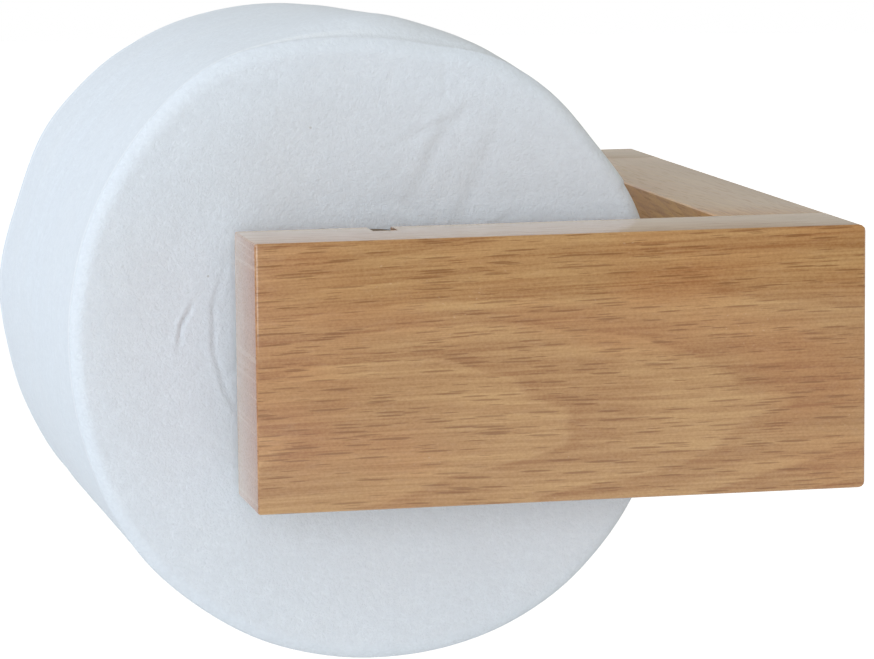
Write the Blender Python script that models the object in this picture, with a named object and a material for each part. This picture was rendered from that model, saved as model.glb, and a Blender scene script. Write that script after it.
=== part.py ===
"""Wall-mounted oak toilet roll holder with its roll.

A U-shaped bracket of three oak boards, dowelled and glued, hangs on two keyhole
plates let into its back. A steel axle drops into a slot in each arm and carries
a turned oak roller, and the paper roll hangs on the roller by its card core.

Frame: the back of the bracket lies in the plane Y = 0, the arms reach towards
-Y, X runs along the axle and +Z is up. The origin is the middle of the back.
"""

import math

import bmesh
import bpy
from mathutils import Matrix, Vector

# The paper roll
roll_radius = 0.056
roll_length = 0.103
shoulder_radius = 0.0040
face_dish = 0.0008
dish_width = 0.016
core_inner_radius = 0.0200
core_wall = 0.0012

# The bracket
board_height = 0.0465
arm_thickness = 0.021
block_thickness = 0.021
roll_side_gap = 0.0055
roll_back_gap = 0.0055
arm_beyond_axle = 0.0255
edge_round = 0.0006

# The axle and the roller on it
axle_radius = 0.0020
axle_below_top = 0.0136
axle_end_chamfer = 0.0004
axle_end_gap = 0.0005
slot_depth = 0.0068
roller_radius = 0.0110
roller_end_gap = 0.0020
roller_round = 0.0015

# The dowels that join the arms to the block
dowel_radius = 0.0040
dowel_in_arm = 0.012
dowel_in_block = 0.018
dowel_chamfer = 0.0008
dowel_flute_depth = 0.0003
dowel_flutes = 14
dowel_height_share = 0.25

# The keyhole plates and their screws
plate_thickness = 0.0020
plate_width = 0.018
plate_length = 0.040
plate_margin = 0.004
plate_sunk = 0.0003
keyhole_entry_radius = 0.0050
keyhole_slot_radius = 0.0025
keyhole_rise = 0.010
head_space_depth = 0.0090
head_space_border = 0.0016
screw_inset = 0.0040
screw_head_radius = 0.0028
screw_head_height = 0.0014
screw_shank_radius = 0.0015
screw_length = 0.013
screw_tip_length = 0.0030
recess_slot_width = 0.0006
recess_slot_depth = 0.0008
recess_length_share = 0.65

# Clearances
fit_gap = 0.0003
glue_gap = 0.0002
slot_gap = 0.0002
cut_overrun = 0.002

# Facets
roll_sides = 72
round_sides = 32
small_sides = 20
corner_steps = 4
edge_steps = 2
smooth_angle = math.radians(35)
weld_distance = 1e-6

# Places worked out from the sizes above
inner_gap = roll_length + 2 * roll_side_gap
inner_half = inner_gap / 2
outer_half = inner_half + arm_thickness
arm_length = arm_beyond_axle + roll_radius + roll_back_gap + block_thickness
block_length = inner_gap - 2 * glue_gap
board_top = board_height / 2
axle_y = arm_beyond_axle - arm_length
axle_z = board_top - axle_below_top
slot_radius = axle_radius + slot_gap
axle_length = inner_gap + 2 * (slot_depth - axle_end_gap)
roller_length = inner_gap - 2 * roller_end_gap
roller_bore_radius = axle_radius + fit_gap
roll_z = axle_z + roller_radius + fit_gap - core_inner_radius
core_outer_radius = core_inner_radius + core_wall
paper_bore_radius = core_outer_radius + fit_gap
dowel_hole_radius = dowel_radius + fit_gap
dowel_y = -block_thickness / 2
dowel_z = dowel_height_share * board_height
plate_x = inner_half - dowel_in_block - plate_margin - plate_width / 2
plate_y = -plate_sunk - plate_thickness / 2
plate_round = plate_width / 2
entry_z = -keyhole_rise / 2
screw_z = plate_length / 2 - screw_inset
head_space_radius = keyhole_entry_radius + head_space_border

side_sign = {"left": -1, "right": 1}
level_sign = {"lower": -1, "upper": 1}


def clear_scene():
    """Starts from an empty scene."""
    for old in list(bpy.data.objects):
        bpy.data.objects.remove(old, do_unlink=True)


def make_material(name, colour, roughness, metallic=0.0):
    """A plain Principled material."""
    material = bpy.data.materials.new(name)
    material.use_nodes = True
    shader = material.node_tree.nodes["Principled BSDF"]
    shader.inputs["Base Color"].default_value = (*colour, 1.0)
    shader.inputs["Roughness"].default_value = roughness
    shader.inputs["Metallic"].default_value = metallic
    return material


def add_object(name, bm, material=None, location=(0, 0, 0), parent=None):
    """Turns a bmesh into a named object, shaded smooth with sharp edges kept."""
    bmesh.ops.remove_doubles(bm, verts=bm.verts, dist=weld_distance)
    bmesh.ops.recalc_face_normals(bm, faces=bm.faces)
    mesh = bpy.data.meshes.new(name)
    bm.to_mesh(mesh)
    bm.free()
    mesh.shade_smooth()
    mesh.set_sharp_from_angle(angle=smooth_angle)
    piece = bpy.data.objects.new(name, mesh)
    bpy.context.scene.collection.objects.link(piece)
    piece.location = location
    piece.parent = parent
    if material:
        mesh.materials.append(material)
    return piece


def add_pivot(name, location, parent=None):
    """An empty that marks where a moving body turns or slides."""
    pivot = bpy.data.objects.new(name, None)
    bpy.context.scene.collection.objects.link(pivot)
    pivot.location = location
    pivot.parent = parent
    return pivot


def box_mesh(size):
    """A box of the given size around the origin."""
    bm = bmesh.new()
    bmesh.ops.create_cube(bm, size=1.0)
    bmesh.ops.scale(bm, vec=Vector(size), verts=bm.verts)
    return bm


def lathe_mesh(profile, sides, closed=False):
    """Spins (x, radius) points about the X axis; closed joins the last point to the first."""
    bm = bmesh.new()
    verts = [bm.verts.new((x, 0, radius)) for x, radius in profile]
    pairs = list(zip(verts, verts[1:]))
    if closed:
        pairs.append((verts[-1], verts[0]))
    edges = [bm.edges.new(pair) for pair in pairs]
    bmesh.ops.spin(
        bm,
        geom=verts + edges,
        cent=(0, 0, 0),
        axis=(1, 0, 0),
        angle=2 * math.pi,
        steps=sides,
        use_merge=True,
        use_duplicate=False,
    )
    return bm


def extrude_outline(points, depth, direction):
    """Extrudes a flat closed outline by a depth, evenly to both sides of where it lies."""
    bm = bmesh.new()
    step = Vector(direction) * depth
    verts = [bm.verts.new(Vector(point) - step / 2) for point in points]
    face = bm.faces.new(verts)
    grown = bmesh.ops.extrude_face_region(bm, geom=[face])
    moved = [item for item in grown["geom"] if isinstance(item, bmesh.types.BMVert)]
    bmesh.ops.translate(bm, vec=step, verts=moved)
    return bm


def arc(centre_u, centre_v, radius, start, end, steps):
    """Points along an arc in a plane with axes u and v, both ends included."""
    angles = [start + (end - start) * i / steps for i in range(steps + 1)]
    return [
        (centre_u + radius * math.cos(a), centre_v + radius * math.sin(a)) for a in angles
    ]


def stadium(low_v, high_v, low_radius, high_radius, steps):
    """An upright outline with a round foot and a round head, as (u, v) points."""
    foot = arc(0, low_v, low_radius, math.pi, 2 * math.pi, steps)
    head = arc(0, high_v, high_radius, 0, math.pi, steps)
    return foot + head


def cut(piece, cutter):
    """Takes the cutter out of the piece and hides the cutter."""
    cutter.hide_render = True
    cutter.display_type = "WIRE"
    boolean = piece.modifiers.new("cut_" + cutter.name, "BOOLEAN")
    boolean.operation = "DIFFERENCE"
    boolean.object = cutter


def round_edges(piece, width, steps):
    """Breaks every sharp edge of a board by a small round."""
    bevel = piece.modifiers.new("rounded_edges", "BEVEL")
    bevel.width = width
    bevel.segments = steps
    bevel.limit_method = "ANGLE"
    bevel.angle_limit = smooth_angle


def rod_profile(length, radius, chamfer):
    """Half section of a plain rod with chamfered ends."""
    half = length / 2
    return [
        (-half, 0),
        (-half, radius - chamfer),
        (chamfer - half, radius),
        (half - chamfer, radius),
        (half, radius - chamfer),
        (half, 0),
    ]


def hole_cutter(name, radius, length, location, sides):
    """A cylinder along X that drills a hole."""
    return add_object(
        name, lathe_mesh(rod_profile(length, radius, 0), sides), location=location
    )


def build_arm(side, oak):
    """One side board, with the axle's slot and the blind holes for its dowels."""
    sign = side_sign[side]
    centre_x = sign * (inner_half + arm_thickness / 2)
    centre_y = -arm_length / 2
    size = (arm_thickness, arm_length, board_height)
    arm = add_object(side + "_arm", box_mesh(size), oak, (centre_x, centre_y, 0))
    round_edges(arm, edge_round, edge_steps)

    slot_height = board_top - axle_z + cut_overrun
    outline = arc(0, 0, slot_radius, math.pi, 2 * math.pi, small_sides // 2)
    outline += [(slot_radius, slot_height), (-slot_radius, slot_height)]
    slot_points = [(0, y, z) for y, z in outline]
    slot_width = slot_depth + cut_overrun
    slot_x = sign * (inner_half + slot_depth - slot_width / 2)
    slot_mesh = extrude_outline(slot_points, slot_width, (1, 0, 0))
    slot = add_object(side + "_slot_cutter", slot_mesh, location=(slot_x, axle_y, axle_z))
    cut(arm, slot)

    for level, level_side in level_sign.items():
        depth = dowel_in_arm + fit_gap + cut_overrun
        hole_x = sign * (inner_half + dowel_in_arm + fit_gap - depth / 2)
        place = (hole_x, dowel_y, level_side * dowel_z)
        name = f"{side}_arm_{level}_dowel_cutter"
        cut(arm, hole_cutter(name, dowel_hole_radius, depth, place, round_sides))
    return arm


def plate_pocket_mesh(depth):
    """The shallow pocket that a keyhole plate lies in."""
    straight = plate_length / 2 - plate_round
    radius = plate_round + fit_gap
    outline = stadium(-straight, straight, radius, radius, small_sides // 2)
    return extrude_outline([(x, 0, z) for x, z in outline], depth, (0, 1, 0))


def head_space_mesh(depth):
    """The deeper hollow behind the keyhole, where the wall screw's head slides up."""
    top_z = entry_z + keyhole_rise
    outline = stadium(entry_z, top_z, head_space_radius, head_space_radius, small_sides // 2)
    return extrude_outline([(x, 0, z) for x, z in outline], depth, (0, 1, 0))


def build_wall_block(oak):
    """The board between the arms that goes against the wall."""
    size = (block_length, block_thickness, board_height)
    centre_y = -block_thickness / 2
    block = add_object("wall_block", box_mesh(size), oak, (0, centre_y, 0))
    round_edges(block, edge_round, edge_steps)

    for side, sign in side_sign.items():
        pocket_depth = plate_sunk + plate_thickness + fit_gap + cut_overrun
        pocket_y = cut_overrun - pocket_depth / 2
        pocket = add_object(
            side + "_pocket_cutter",
            plate_pocket_mesh(pocket_depth),
            location=(sign * plate_x, pocket_y, 0),
        )
        cut(block, pocket)
        space_depth = head_space_depth + cut_overrun
        space = add_object(
            side + "_head_space_cutter",
            head_space_mesh(space_depth),
            location=(sign * plate_x, cut_overrun - space_depth / 2, 0),
        )
        cut(block, space)
        for level, level_side in level_sign.items():
            depth = dowel_in_block + fit_gap + cut_overrun
            hole_x = sign * (inner_half + cut_overrun - depth / 2)
            place = (hole_x, dowel_y, level_side * dowel_z)
            name = f"{side}_block_{level}_dowel_cutter"
            cut(block, hole_cutter(name, dowel_hole_radius, depth, place, round_sides))

            pilot_length = screw_length + fit_gap + cut_overrun
            pilot = hole_cutter(
                f"{side}_{level}_pilot_cutter",
                screw_shank_radius + fit_gap,
                pilot_length,
                (sign * plate_x, cut_overrun - pilot_length / 2, level_side * screw_z),
                small_sides,
            )
            pilot.rotation_euler = (0, 0, math.pi / 2)
            cut(block, pilot)
    return block


def dowel_mesh():
    """A fluted beech dowel with chamfered ends, along X."""
    half = (dowel_in_arm + dowel_in_block) / 2
    stations = [
        (-half, dowel_chamfer),
        (dowel_chamfer - half, 0),
        (half - dowel_chamfer, 0),
        (half, dowel_chamfer),
    ]
    bm = bmesh.new()
    rings = []
    for x, inset in stations:
        ring = []
        for i in range(2 * dowel_flutes):
            angle = math.pi * i / dowel_flutes
            radius = dowel_radius - inset - dowel_flute_depth * (i % 2)
            place = (x, radius * math.cos(angle), radius * math.sin(angle))
            ring.append(bm.verts.new(place))
        rings.append(ring)
    count = 2 * dowel_flutes
    for near, far in zip(rings, rings[1:]):
        for i in range(count):
            j = (i + 1) % count
            bm.faces.new((near[i], near[j], far[j], far[i]))
    bm.faces.new(rings[0])
    bm.faces.new(rings[-1])
    return bm


def build_dowels(beech):
    """Two dowels in each corner joint."""
    shift = (dowel_in_arm - dowel_in_block) / 2
    for side, sign in side_sign.items():
        for level, level_side in level_sign.items():
            place = (sign * (inner_half + shift), dowel_y, level_side * dowel_z)
            add_object(f"{side}_{level}_dowel", dowel_mesh(), beech, place)


def build_keyhole_plate(side, zinc):
    """A steel plate with a keyhole and two countersunk screw holes."""
    sign = side_sign[side]
    straight = plate_length / 2 - plate_round
    outline = stadium(-straight, straight, plate_round, plate_round, small_sides // 2)
    body = extrude_outline([(x, 0, z) for x, z in outline], plate_thickness, (0, 1, 0))
    plate = add_object(side + "_keyhole_plate", body, zinc, (sign * plate_x, plate_y, 0))

    through = plate_thickness + 2 * cut_overrun
    entry = hole_cutter(
        side + "_entry_cutter",
        keyhole_entry_radius,
        through,
        (sign * plate_x, plate_y, entry_z),
        round_sides,
    )
    entry.rotation_euler = (0, 0, math.pi / 2)
    cut(plate, entry)

    top_z = entry_z + keyhole_rise
    narrow = stadium(
        entry_z, top_z, keyhole_slot_radius, keyhole_slot_radius, small_sides // 2
    )
    narrow_mesh = extrude_outline([(x, 0, z) for x, z in narrow], through, (0, 1, 0))
    cut(
        plate,
        add_object(
            side + "_narrow_cutter", narrow_mesh, location=(sign * plate_x, plate_y, 0)
        ),
    )

    back = plate_thickness / 2
    for level, level_side in level_sign.items():
        hole = add_object(
            f"{side}_{level}_countersink_cutter",
            lathe_mesh(countersink_profile(back), small_sides),
            location=(sign * plate_x, plate_y, level_side * screw_z),
        )
        hole.rotation_euler = (0, 0, math.pi / 2)
        cut(plate, hole)
    return plate


def countersink_profile(back):
    """Half section of a countersunk hole through a plate whose open face is at x = back."""
    shank = screw_shank_radius + fit_gap
    head = screw_head_radius + fit_gap
    return [
        (-back - cut_overrun, 0),
        (-back - cut_overrun, shank),
        (back - screw_head_height, shank),
        (back, head),
        (back + cut_overrun, head),
        (back + cut_overrun, 0),
    ]


def screw_mesh():
    """A countersunk wood screw along X, its head's flat face at x = 0 and its tip at -x."""
    profile = [
        (0, 0),
        (0, screw_head_radius),
        (-screw_head_height, screw_shank_radius),
        (screw_tip_length - screw_length, screw_shank_radius),
        (-screw_length, 0),
    ]
    return lathe_mesh(profile, small_sides)


def build_plate_screws(steel):
    """Two screws hold each plate, with a cross recess in every head."""
    for side, sign in side_sign.items():
        for level, level_side in level_sign.items():
            place = (sign * plate_x, -plate_sunk, level_side * screw_z)
            name = f"{side}_plate_{level}_screw"
            screw = add_object(name, screw_mesh(), steel, place)
            screw.rotation_euler = (0, 0, math.pi / 2)
            span = 2 * screw_head_radius * recess_length_share
            for arm, size in (
                ("across", (span, 2 * recess_slot_depth, recess_slot_width)),
                ("upright", (recess_slot_width, 2 * recess_slot_depth, span)),
            ):
                cutter = add_object(f"{name}_{arm}_cutter", box_mesh(size), location=place)
                cut(screw, cutter)


def build_axle(steel, pivot):
    """The steel rod whose ends lie in the arms' slots."""
    profile = rod_profile(axle_length, axle_radius, axle_end_chamfer)
    return add_object("axle_rod", lathe_mesh(profile, small_sides), steel, parent=pivot)


def tube_section(length, inner, outer, round_radius, steps):
    """Closed half section of a tube with rounded outer rims, from its inner left end."""
    half = length / 2
    right = arc(half - round_radius, outer - round_radius, round_radius, 0, math.pi / 2, steps)
    left = arc(
        round_radius - half, outer - round_radius, round_radius, math.pi / 2, math.pi, steps
    )
    return [(-half, inner), (half, inner)] + right + left


def build_roller(oak, pivot):
    """The turned oak roller, bored right through for the axle."""
    section = tube_section(
        roller_length, roller_bore_radius, roller_radius, roller_round, corner_steps
    )
    return add_object(
        "oak_roller", lathe_mesh(section, round_sides, closed=True), oak, parent=pivot
    )


def build_core(card, pivot):
    """The card tube in the middle of the roll."""
    half = roll_length / 2
    section = [
        (-half, core_inner_radius),
        (half, core_inner_radius),
        (half, core_outer_radius),
        (-half, core_outer_radius),
    ]
    return add_object(
        "card_core", lathe_mesh(section, round_sides * 2, closed=True), card, parent=pivot
    )


def paper_section():
    """Closed half section of the wound paper: soft shoulders, ends dished in to the core."""
    half = roll_length / 2
    edge = roll_radius - shoulder_radius
    right = arc(half - shoulder_radius, edge, shoulder_radius, 0, math.pi / 2, corner_steps)
    left = [(-x, radius) for x, radius in reversed(right)]
    dish = [(half - face_dish, paper_bore_radius), (half, paper_bore_radius + dish_width)]
    mirrored_dish = [(-x, radius) for x, radius in reversed(dish)]
    return mirrored_dish[1:] + dish + right + left


def build_paper(paper, pivot):
    """The wound paper, as one turned body with soft shoulders."""
    return add_object(
        "paper_roll", lathe_mesh(paper_section(), roll_sides, closed=True), paper, parent=pivot
    )


def build_holder():
    """Makes every piece in place."""
    oak = make_material("oak", (0.52, 0.31, 0.15), 0.55)
    beech = make_material("beech", (0.70, 0.50, 0.32), 0.65)
    steel = make_material("steel", (0.55, 0.55, 0.56), 0.30, 1.0)
    zinc = make_material("zinc_plated_steel", (0.62, 0.62, 0.60), 0.38, 1.0)
    paper = make_material("paper", (0.82, 0.84, 0.87), 0.95)
    card = make_material("card", (0.50, 0.40, 0.29), 0.90)

    build_wall_block(oak)
    for side in side_sign:
        build_arm(side, oak)
        build_keyhole_plate(side, zinc)
    build_dowels(beech)
    build_plate_screws(steel)

    axle_pivot = add_pivot("axle_pivot", (0, axle_y, axle_z))
    roll_pivot = add_pivot("roll_pivot", (0, 0, roll_z - axle_z), axle_pivot)
    build_axle(steel, axle_pivot)
    build_roller(oak, axle_pivot)
    build_core(card, roll_pivot)
    build_paper(paper, roll_pivot)


clear_scene()
build_holder()
bpy.context.view_layer.update()
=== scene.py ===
# %% [markdown]
# # A wooden toilet roll holder, finished for a picture
#
# The holder is a U of three solid oak boards. A steel rod drops into a slot in each arm, carries a
# turned oak roller, and a full roll of soft paper hangs on the roller by its card tube.
# The measured solids already exist, and this script loads them as a fixed frame. What is left is what
# makes them look real: boards with softened edges and tight joints, a roll that is soft and not quite
# round, and finishes with grain, pores, fibres and wear.
# All lengths are in metres. X runs along the rod, Y goes into the wall and Z is up.

# %% Load the measured solids
import math

import bmesh
import bpy
import numpy as np
from mathutils import Matrix, Vector


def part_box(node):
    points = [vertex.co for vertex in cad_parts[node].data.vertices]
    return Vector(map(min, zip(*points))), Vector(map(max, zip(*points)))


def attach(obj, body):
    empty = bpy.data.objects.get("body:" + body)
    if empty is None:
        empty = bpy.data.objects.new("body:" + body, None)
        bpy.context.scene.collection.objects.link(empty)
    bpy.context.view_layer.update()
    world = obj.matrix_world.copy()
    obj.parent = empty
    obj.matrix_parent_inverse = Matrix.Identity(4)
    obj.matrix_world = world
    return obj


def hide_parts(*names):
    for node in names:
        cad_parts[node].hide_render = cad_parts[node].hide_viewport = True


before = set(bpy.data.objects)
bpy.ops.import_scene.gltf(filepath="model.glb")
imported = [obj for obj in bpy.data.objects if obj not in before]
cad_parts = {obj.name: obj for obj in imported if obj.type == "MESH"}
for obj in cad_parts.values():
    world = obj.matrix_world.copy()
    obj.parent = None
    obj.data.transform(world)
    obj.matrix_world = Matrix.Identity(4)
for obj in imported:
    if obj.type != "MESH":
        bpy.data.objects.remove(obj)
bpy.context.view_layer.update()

MM = 0.001
print("solids:", len(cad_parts))

# %% [markdown]
# ## Small helpers for shapes
#
# A bmesh is Blender's workshop for faces and edges. The first helper turns one into an object in the
# scene, shaded smooth with its hard edges kept hard. The second pushes a flat outline along a line,
# which makes the shape that a router bit would sweep out. The third takes such shapes out of a board.
# A Boolean modifier does that, and its result is kept as plain mesh, so that the tool shapes can be
# thrown away and nothing hidden is left on the board.

# %% Helpers: place a shape, push an outline, and cut
HARD_EDGE = math.radians(35)
SAME_POINT = 0.001 * MM


def place(name, bm):
    bmesh.ops.remove_doubles(bm, verts=bm.verts, dist=SAME_POINT)
    bmesh.ops.recalc_face_normals(bm, faces=bm.faces)
    mesh = bpy.data.meshes.new(name)
    bm.to_mesh(mesh)
    bm.free()
    mesh.shade_smooth()
    mesh.set_sharp_from_angle(angle=HARD_EDGE)
    piece = bpy.data.objects.new(name, mesh)
    bpy.context.scene.collection.objects.link(piece)
    return piece


def pushed(name, outline, way):
    bm = bmesh.new()
    face = bm.faces.new([bm.verts.new(point) for point in outline])
    grown = bmesh.ops.extrude_face_region(bm, geom=[face])
    moved = [g for g in grown["geom"] if isinstance(g, bmesh.types.BMVert)]
    bmesh.ops.translate(bm, vec=way, verts=moved)
    return place(name, bm)


def cut_out(piece, tools):
    for tool in tools:
        step = piece.modifiers.new("cut", "BOOLEAN")
        step.operation = "DIFFERENCE"
        step.solver = "EXACT"
        step.object = tool
    bpy.context.view_layer.update()
    shaped = bpy.data.meshes.new_from_object(piece.evaluated_get(bpy.context.evaluated_depsgraph_get()))
    piece.modifiers.clear()
    piece.data = shaped
    shaped.shade_smooth()
    shaped.set_sharp_from_angle(angle=HARD_EDGE)
    for tool in tools:
        bpy.data.objects.remove(tool, do_unlink=True)
    return piece


# %% [markdown]
# ## Boards with softened edges
#
# A planed board has edges that would splinter, so the maker breaks each one with a little sandpaper.
# A plain cube would look like plastic here, because a perfectly sharp edge catches no light. The box
# below is built from its two corners, and all its edges are bevelled in three steps to a radius of
# about 0.6 mm. The edges against the wall are worn rounder in the photograph, so each gets three
# slanted plane cuts, as from a few strokes of a block plane, which follow a circle of 1.5 mm. Last,
# the board is divided into bands along its length, which gives faces of an even size to shade.

# %% Make a board
EDGE_RADIUS = 0.6 * MM
REAR_RADIUS = 1.5 * MM
PLANE_STROKES = (20, 45, 70)


def ease_rear_edge(bm, y, z, up):
    for degrees in PLANE_STROKES:
        a = math.radians(degrees)
        out = Vector((0, math.cos(a), up * math.sin(a)))
        touch = Vector((0, y - REAR_RADIUS, z - up * REAR_RADIUS)) + REAR_RADIUS * out
        everything = bm.verts[:] + bm.edges[:] + bm.faces[:]
        cut = bmesh.ops.bisect_plane(bm, geom=everything, plane_co=touch, plane_no=out, clear_outer=True)
        rim = [g for g in cut["geom_cut"] if isinstance(g, bmesh.types.BMEdge)]
        bmesh.ops.edgeloop_fill(bm, edges=rim)


def board(name, low, high, bands=6):
    bm = bmesh.new()
    bmesh.ops.create_cube(bm, size=1.0)
    low, high = Vector(low), Vector(high)
    size = high - low
    bmesh.ops.scale(bm, vec=size, verts=bm.verts)
    bmesh.ops.translate(bm, vec=(low + high) / 2, verts=bm.verts)
    softened = {"offset": EDGE_RADIUS, "segments": 3, "profile": 0.6, "clamp_overlap": True}
    bmesh.ops.bevel(bm, geom=bm.edges[:], affect="EDGES", **softened)
    ease_rear_edge(bm, high.y, high.z, 1)
    ease_rear_edge(bm, high.y, low.z, -1)
    longest = max(range(3), key=lambda axis: size[axis])
    normal = Vector([1.0 if axis == longest else 0.0 for axis in range(3)])
    for i in range(1, bands):
        everything = bm.verts[:] + bm.edges[:] + bm.faces[:]
        bmesh.ops.bisect_plane(bm, geom=everything, plane_co=low + size * (i / bands), plane_no=normal)
    return place(name, bm)


# %% [markdown]
# ## The two arms
#
# Each arm is one board that reaches from the wall to its free end. Its inner face has a slot, open at
# the top and round at the bottom, and the rod's end drops into it. In the photograph only the mouth of
# one slot shows, as a small brown mark on the near arm's top. The slot is cut with a tool of the same
# outline, pushed into the board from the inside. Every tool starts a little outside the wood, because
# a Boolean cut is only clean where no two faces lie in one plane.

# %% Cut the slot and make the arms
SLOT_HALF = 2.2 * MM
SLOT_DEPTH = 6.8 * MM
OUTSIDE = 2 * MM
ARC_STEPS = 24
rod_low, rod_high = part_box("axle_rod")
rod_y = (rod_low.y + rod_high.y) / 2
rod_z = (rod_low.z + rod_high.z) / 2
print("rod axis at y", round(rod_y, 4), "z", round(rod_z, 4))


def half_circle(across, up, radius, start):
    steps = [start + math.pi * i / ARC_STEPS for i in range(ARC_STEPS + 1)]
    return [(across + radius * math.cos(a), up + radius * math.sin(a)) for a in steps]


def slot_tool(inner_x, side, top_z):
    outline = half_circle(rod_y, rod_z, SLOT_HALF, math.pi)
    outline += [(rod_y + SLOT_HALF, top_z + OUTSIDE), (rod_y - SLOT_HALF, top_z + OUTSIDE)]
    start = inner_x - side * OUTSIDE
    way = (side * (SLOT_DEPTH + OUTSIDE), 0, 0)
    return pushed("slot_tool", [(start, y, z) for y, z in outline], way)


arms = {}
for word, side in (("left", -1), ("right", 1)):
    low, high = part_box(word + "_arm")
    inner_x = low.x if side > 0 else high.x
    arm = board(word + "_arm_board", low, high)
    cut_out(arm, [slot_tool(inner_x, side, high.z)])
    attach(arm, "bracket")
    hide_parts(word + "_arm")
    arms[word] = arm
    print(arm.name, "has", len(arm.data.polygons), "faces")

# %% [markdown]
# ## The board against the wall
#
# The third board closes the U at the wall. It is glued and dowelled between the arms, so tightly that
# the joint can hardly be seen. The measured solids keep a small gap there, because solids may not
# touch. This board closes it: it reaches into each arm by as much as the arm's edges are rounded, and
# lies a fiftieth of a millimetre inside the arms' faces, so that no two faces fall in one plane.
# Its back has two long pockets with round ends, each with a deeper hollow where a wall screw's head
# slides up, and a drilled pilot hole for each of the four small screws.

# %% Tools for pockets and pilot holes
POCKET_DEPTH = 2.6 * MM
POCKET_ROOM = 0.3 * MM
HOLLOW_DEPTH = 9.0 * MM
HOLLOW_HALF = 6.6 * MM
KEYHOLE_RISE = 10.0 * MM
PILOT_RADIUS = 1.8 * MM
PILOT_LENGTH = 14 * MM


def long_hole_tool(name, x, half_rise, half, depth):
    outline = half_circle(x, -half_rise, half, math.pi) + half_circle(x, half_rise, half, 0.0)
    return pushed(name, [(u, OUTSIDE, w) for u, w in outline], (0, -(depth + OUTSIDE), 0))


def pilot_tool(x, z, sides=40):
    bm = bmesh.new()
    bmesh.ops.create_cone(
        bm, cap_ends=True, segments=sides, radius1=PILOT_RADIUS, radius2=PILOT_RADIUS, depth=PILOT_LENGTH
    )
    turn = Vector((0, 0, 1)).rotation_difference(Vector((0, 1, 0))).to_matrix().to_4x4()
    middle = Matrix.Translation((x, -PILOT_LENGTH / 2, z))
    bmesh.ops.transform(bm, matrix=middle @ turn, verts=bm.verts)
    return place("pilot_tool", bm)


# %% Make the wall board with its pockets
SIDES = ("left", "right")
LEVELS = ("lower", "upper")
HAIR = 0.02 * MM
low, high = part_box("wall_block")
reach = Vector((arms["right"].bound_box[0][0] - high.x + EDGE_RADIUS, -HAIR, -HAIR))
wall_board = board("wall_board", low - reach, high + reach)
tools = []
for word in SIDES:
    plate_low, plate_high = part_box(word + "_keyhole_plate")
    x = (plate_low.x + plate_high.x) / 2
    half = (plate_high.x - plate_low.x) / 2
    half_rise = (plate_high.z - plate_low.z) / 2 - half
    tools.append(long_hole_tool("pocket_tool", x, half_rise, half + POCKET_ROOM, POCKET_DEPTH))
    tools.append(long_hole_tool("hollow_tool", x, KEYHOLE_RISE / 2, HOLLOW_HALF, HOLLOW_DEPTH))
    for level in LEVELS:
        screw_low, screw_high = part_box(f"{word}_plate_{level}_screw")
        middle = (screw_low + screw_high) / 2
        tools.append(pilot_tool(middle.x, middle.z))
cut_out(wall_board, tools)
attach(wall_board, "bracket")
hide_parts("wall_block")
print("wall board closes a gap of", round((reach.x - EDGE_RADIUS) / MM, 2), "mm at each end")

# %% [markdown]
# ## The roll: a section that is turned, then pressed
#
# Thin paper wound on a tube makes a cylinder, but a soft one. Its ends round over in a broad shoulder,
# and where the shoulder meets the side the cut edges stand up in a small sharp ridge, which the
# photograph shows as a bright line. A lathe shape alone would look like a drum of plaster. So the
# section is laid out as a list of points, turned into a fine grid of angle by section, and every point
# is then moved by small rules. Numpy does this for the whole grid at once, which stays quick with
# over a hundred thousand points.

# %% One end of the roll's section
paper_low, paper_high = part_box("paper_roll")
ROLL_HALF = (paper_high.x - paper_low.x) / 2
ROLL_RADIUS = (paper_high.z - paper_low.z) / 2
BORE_RADIUS = 21.25 * MM
SHOULDER_RADIUS = 3.4 * MM
SHOULDER_SWEEP = math.radians(57)
LIP_RADIUS = 0.42 * MM
LIP_RISE = 0.30 * MM
LIP_WIDTH = 0.8 * MM
BEHIND_LIP = (0.25, 0.55, 0.95, 1.5, 2.3)
roll_y = (paper_low.y + paper_high.y) / 2
roll_z = (paper_low.z + paper_high.z) / 2
FACE_STEPS, SHOULDER_STEPS, LIP_STEPS, SIDE_STEPS = 72, 8, 4, 90

shoulder_start = ROLL_RADIUS - LIP_RADIUS - (SHOULDER_RADIUS - LIP_RADIUS) * math.sin(SHOULDER_SWEEP)


def end_section():
    points = []
    for i in range(FACE_STEPS):
        points.append((ROLL_HALF, BORE_RADIUS + (shoulder_start - BORE_RADIUS) * i / FACE_STEPS))
    for i in range(SHOULDER_STEPS):
        a = SHOULDER_SWEEP * i / SHOULDER_STEPS
        x = ROLL_HALF - SHOULDER_RADIUS + SHOULDER_RADIUS * math.cos(a)
        points.append((x, shoulder_start + SHOULDER_RADIUS * math.sin(a)))
    lip_x = ROLL_HALF - SHOULDER_RADIUS + (SHOULDER_RADIUS - LIP_RADIUS) * math.cos(SHOULDER_SWEEP)
    for i in range(LIP_STEPS + 1):
        a = SHOULDER_SWEEP + (math.pi / 2 - SHOULDER_SWEEP) * i / LIP_STEPS
        lip_radius = ROLL_RADIUS - LIP_RADIUS + LIP_RADIUS * math.sin(a)
        points.append((lip_x + LIP_RADIUS * math.cos(a), lip_radius))
    for step in BEHIND_LIP:
        fall = LIP_RISE * (1 - math.exp(-((step * MM / LIP_WIDTH) ** 2)))
        points.append((lip_x - step * MM, ROLL_RADIUS - fall))
    return points


print("one end:", len(end_section()), "points from the bore to behind the lip")

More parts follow.
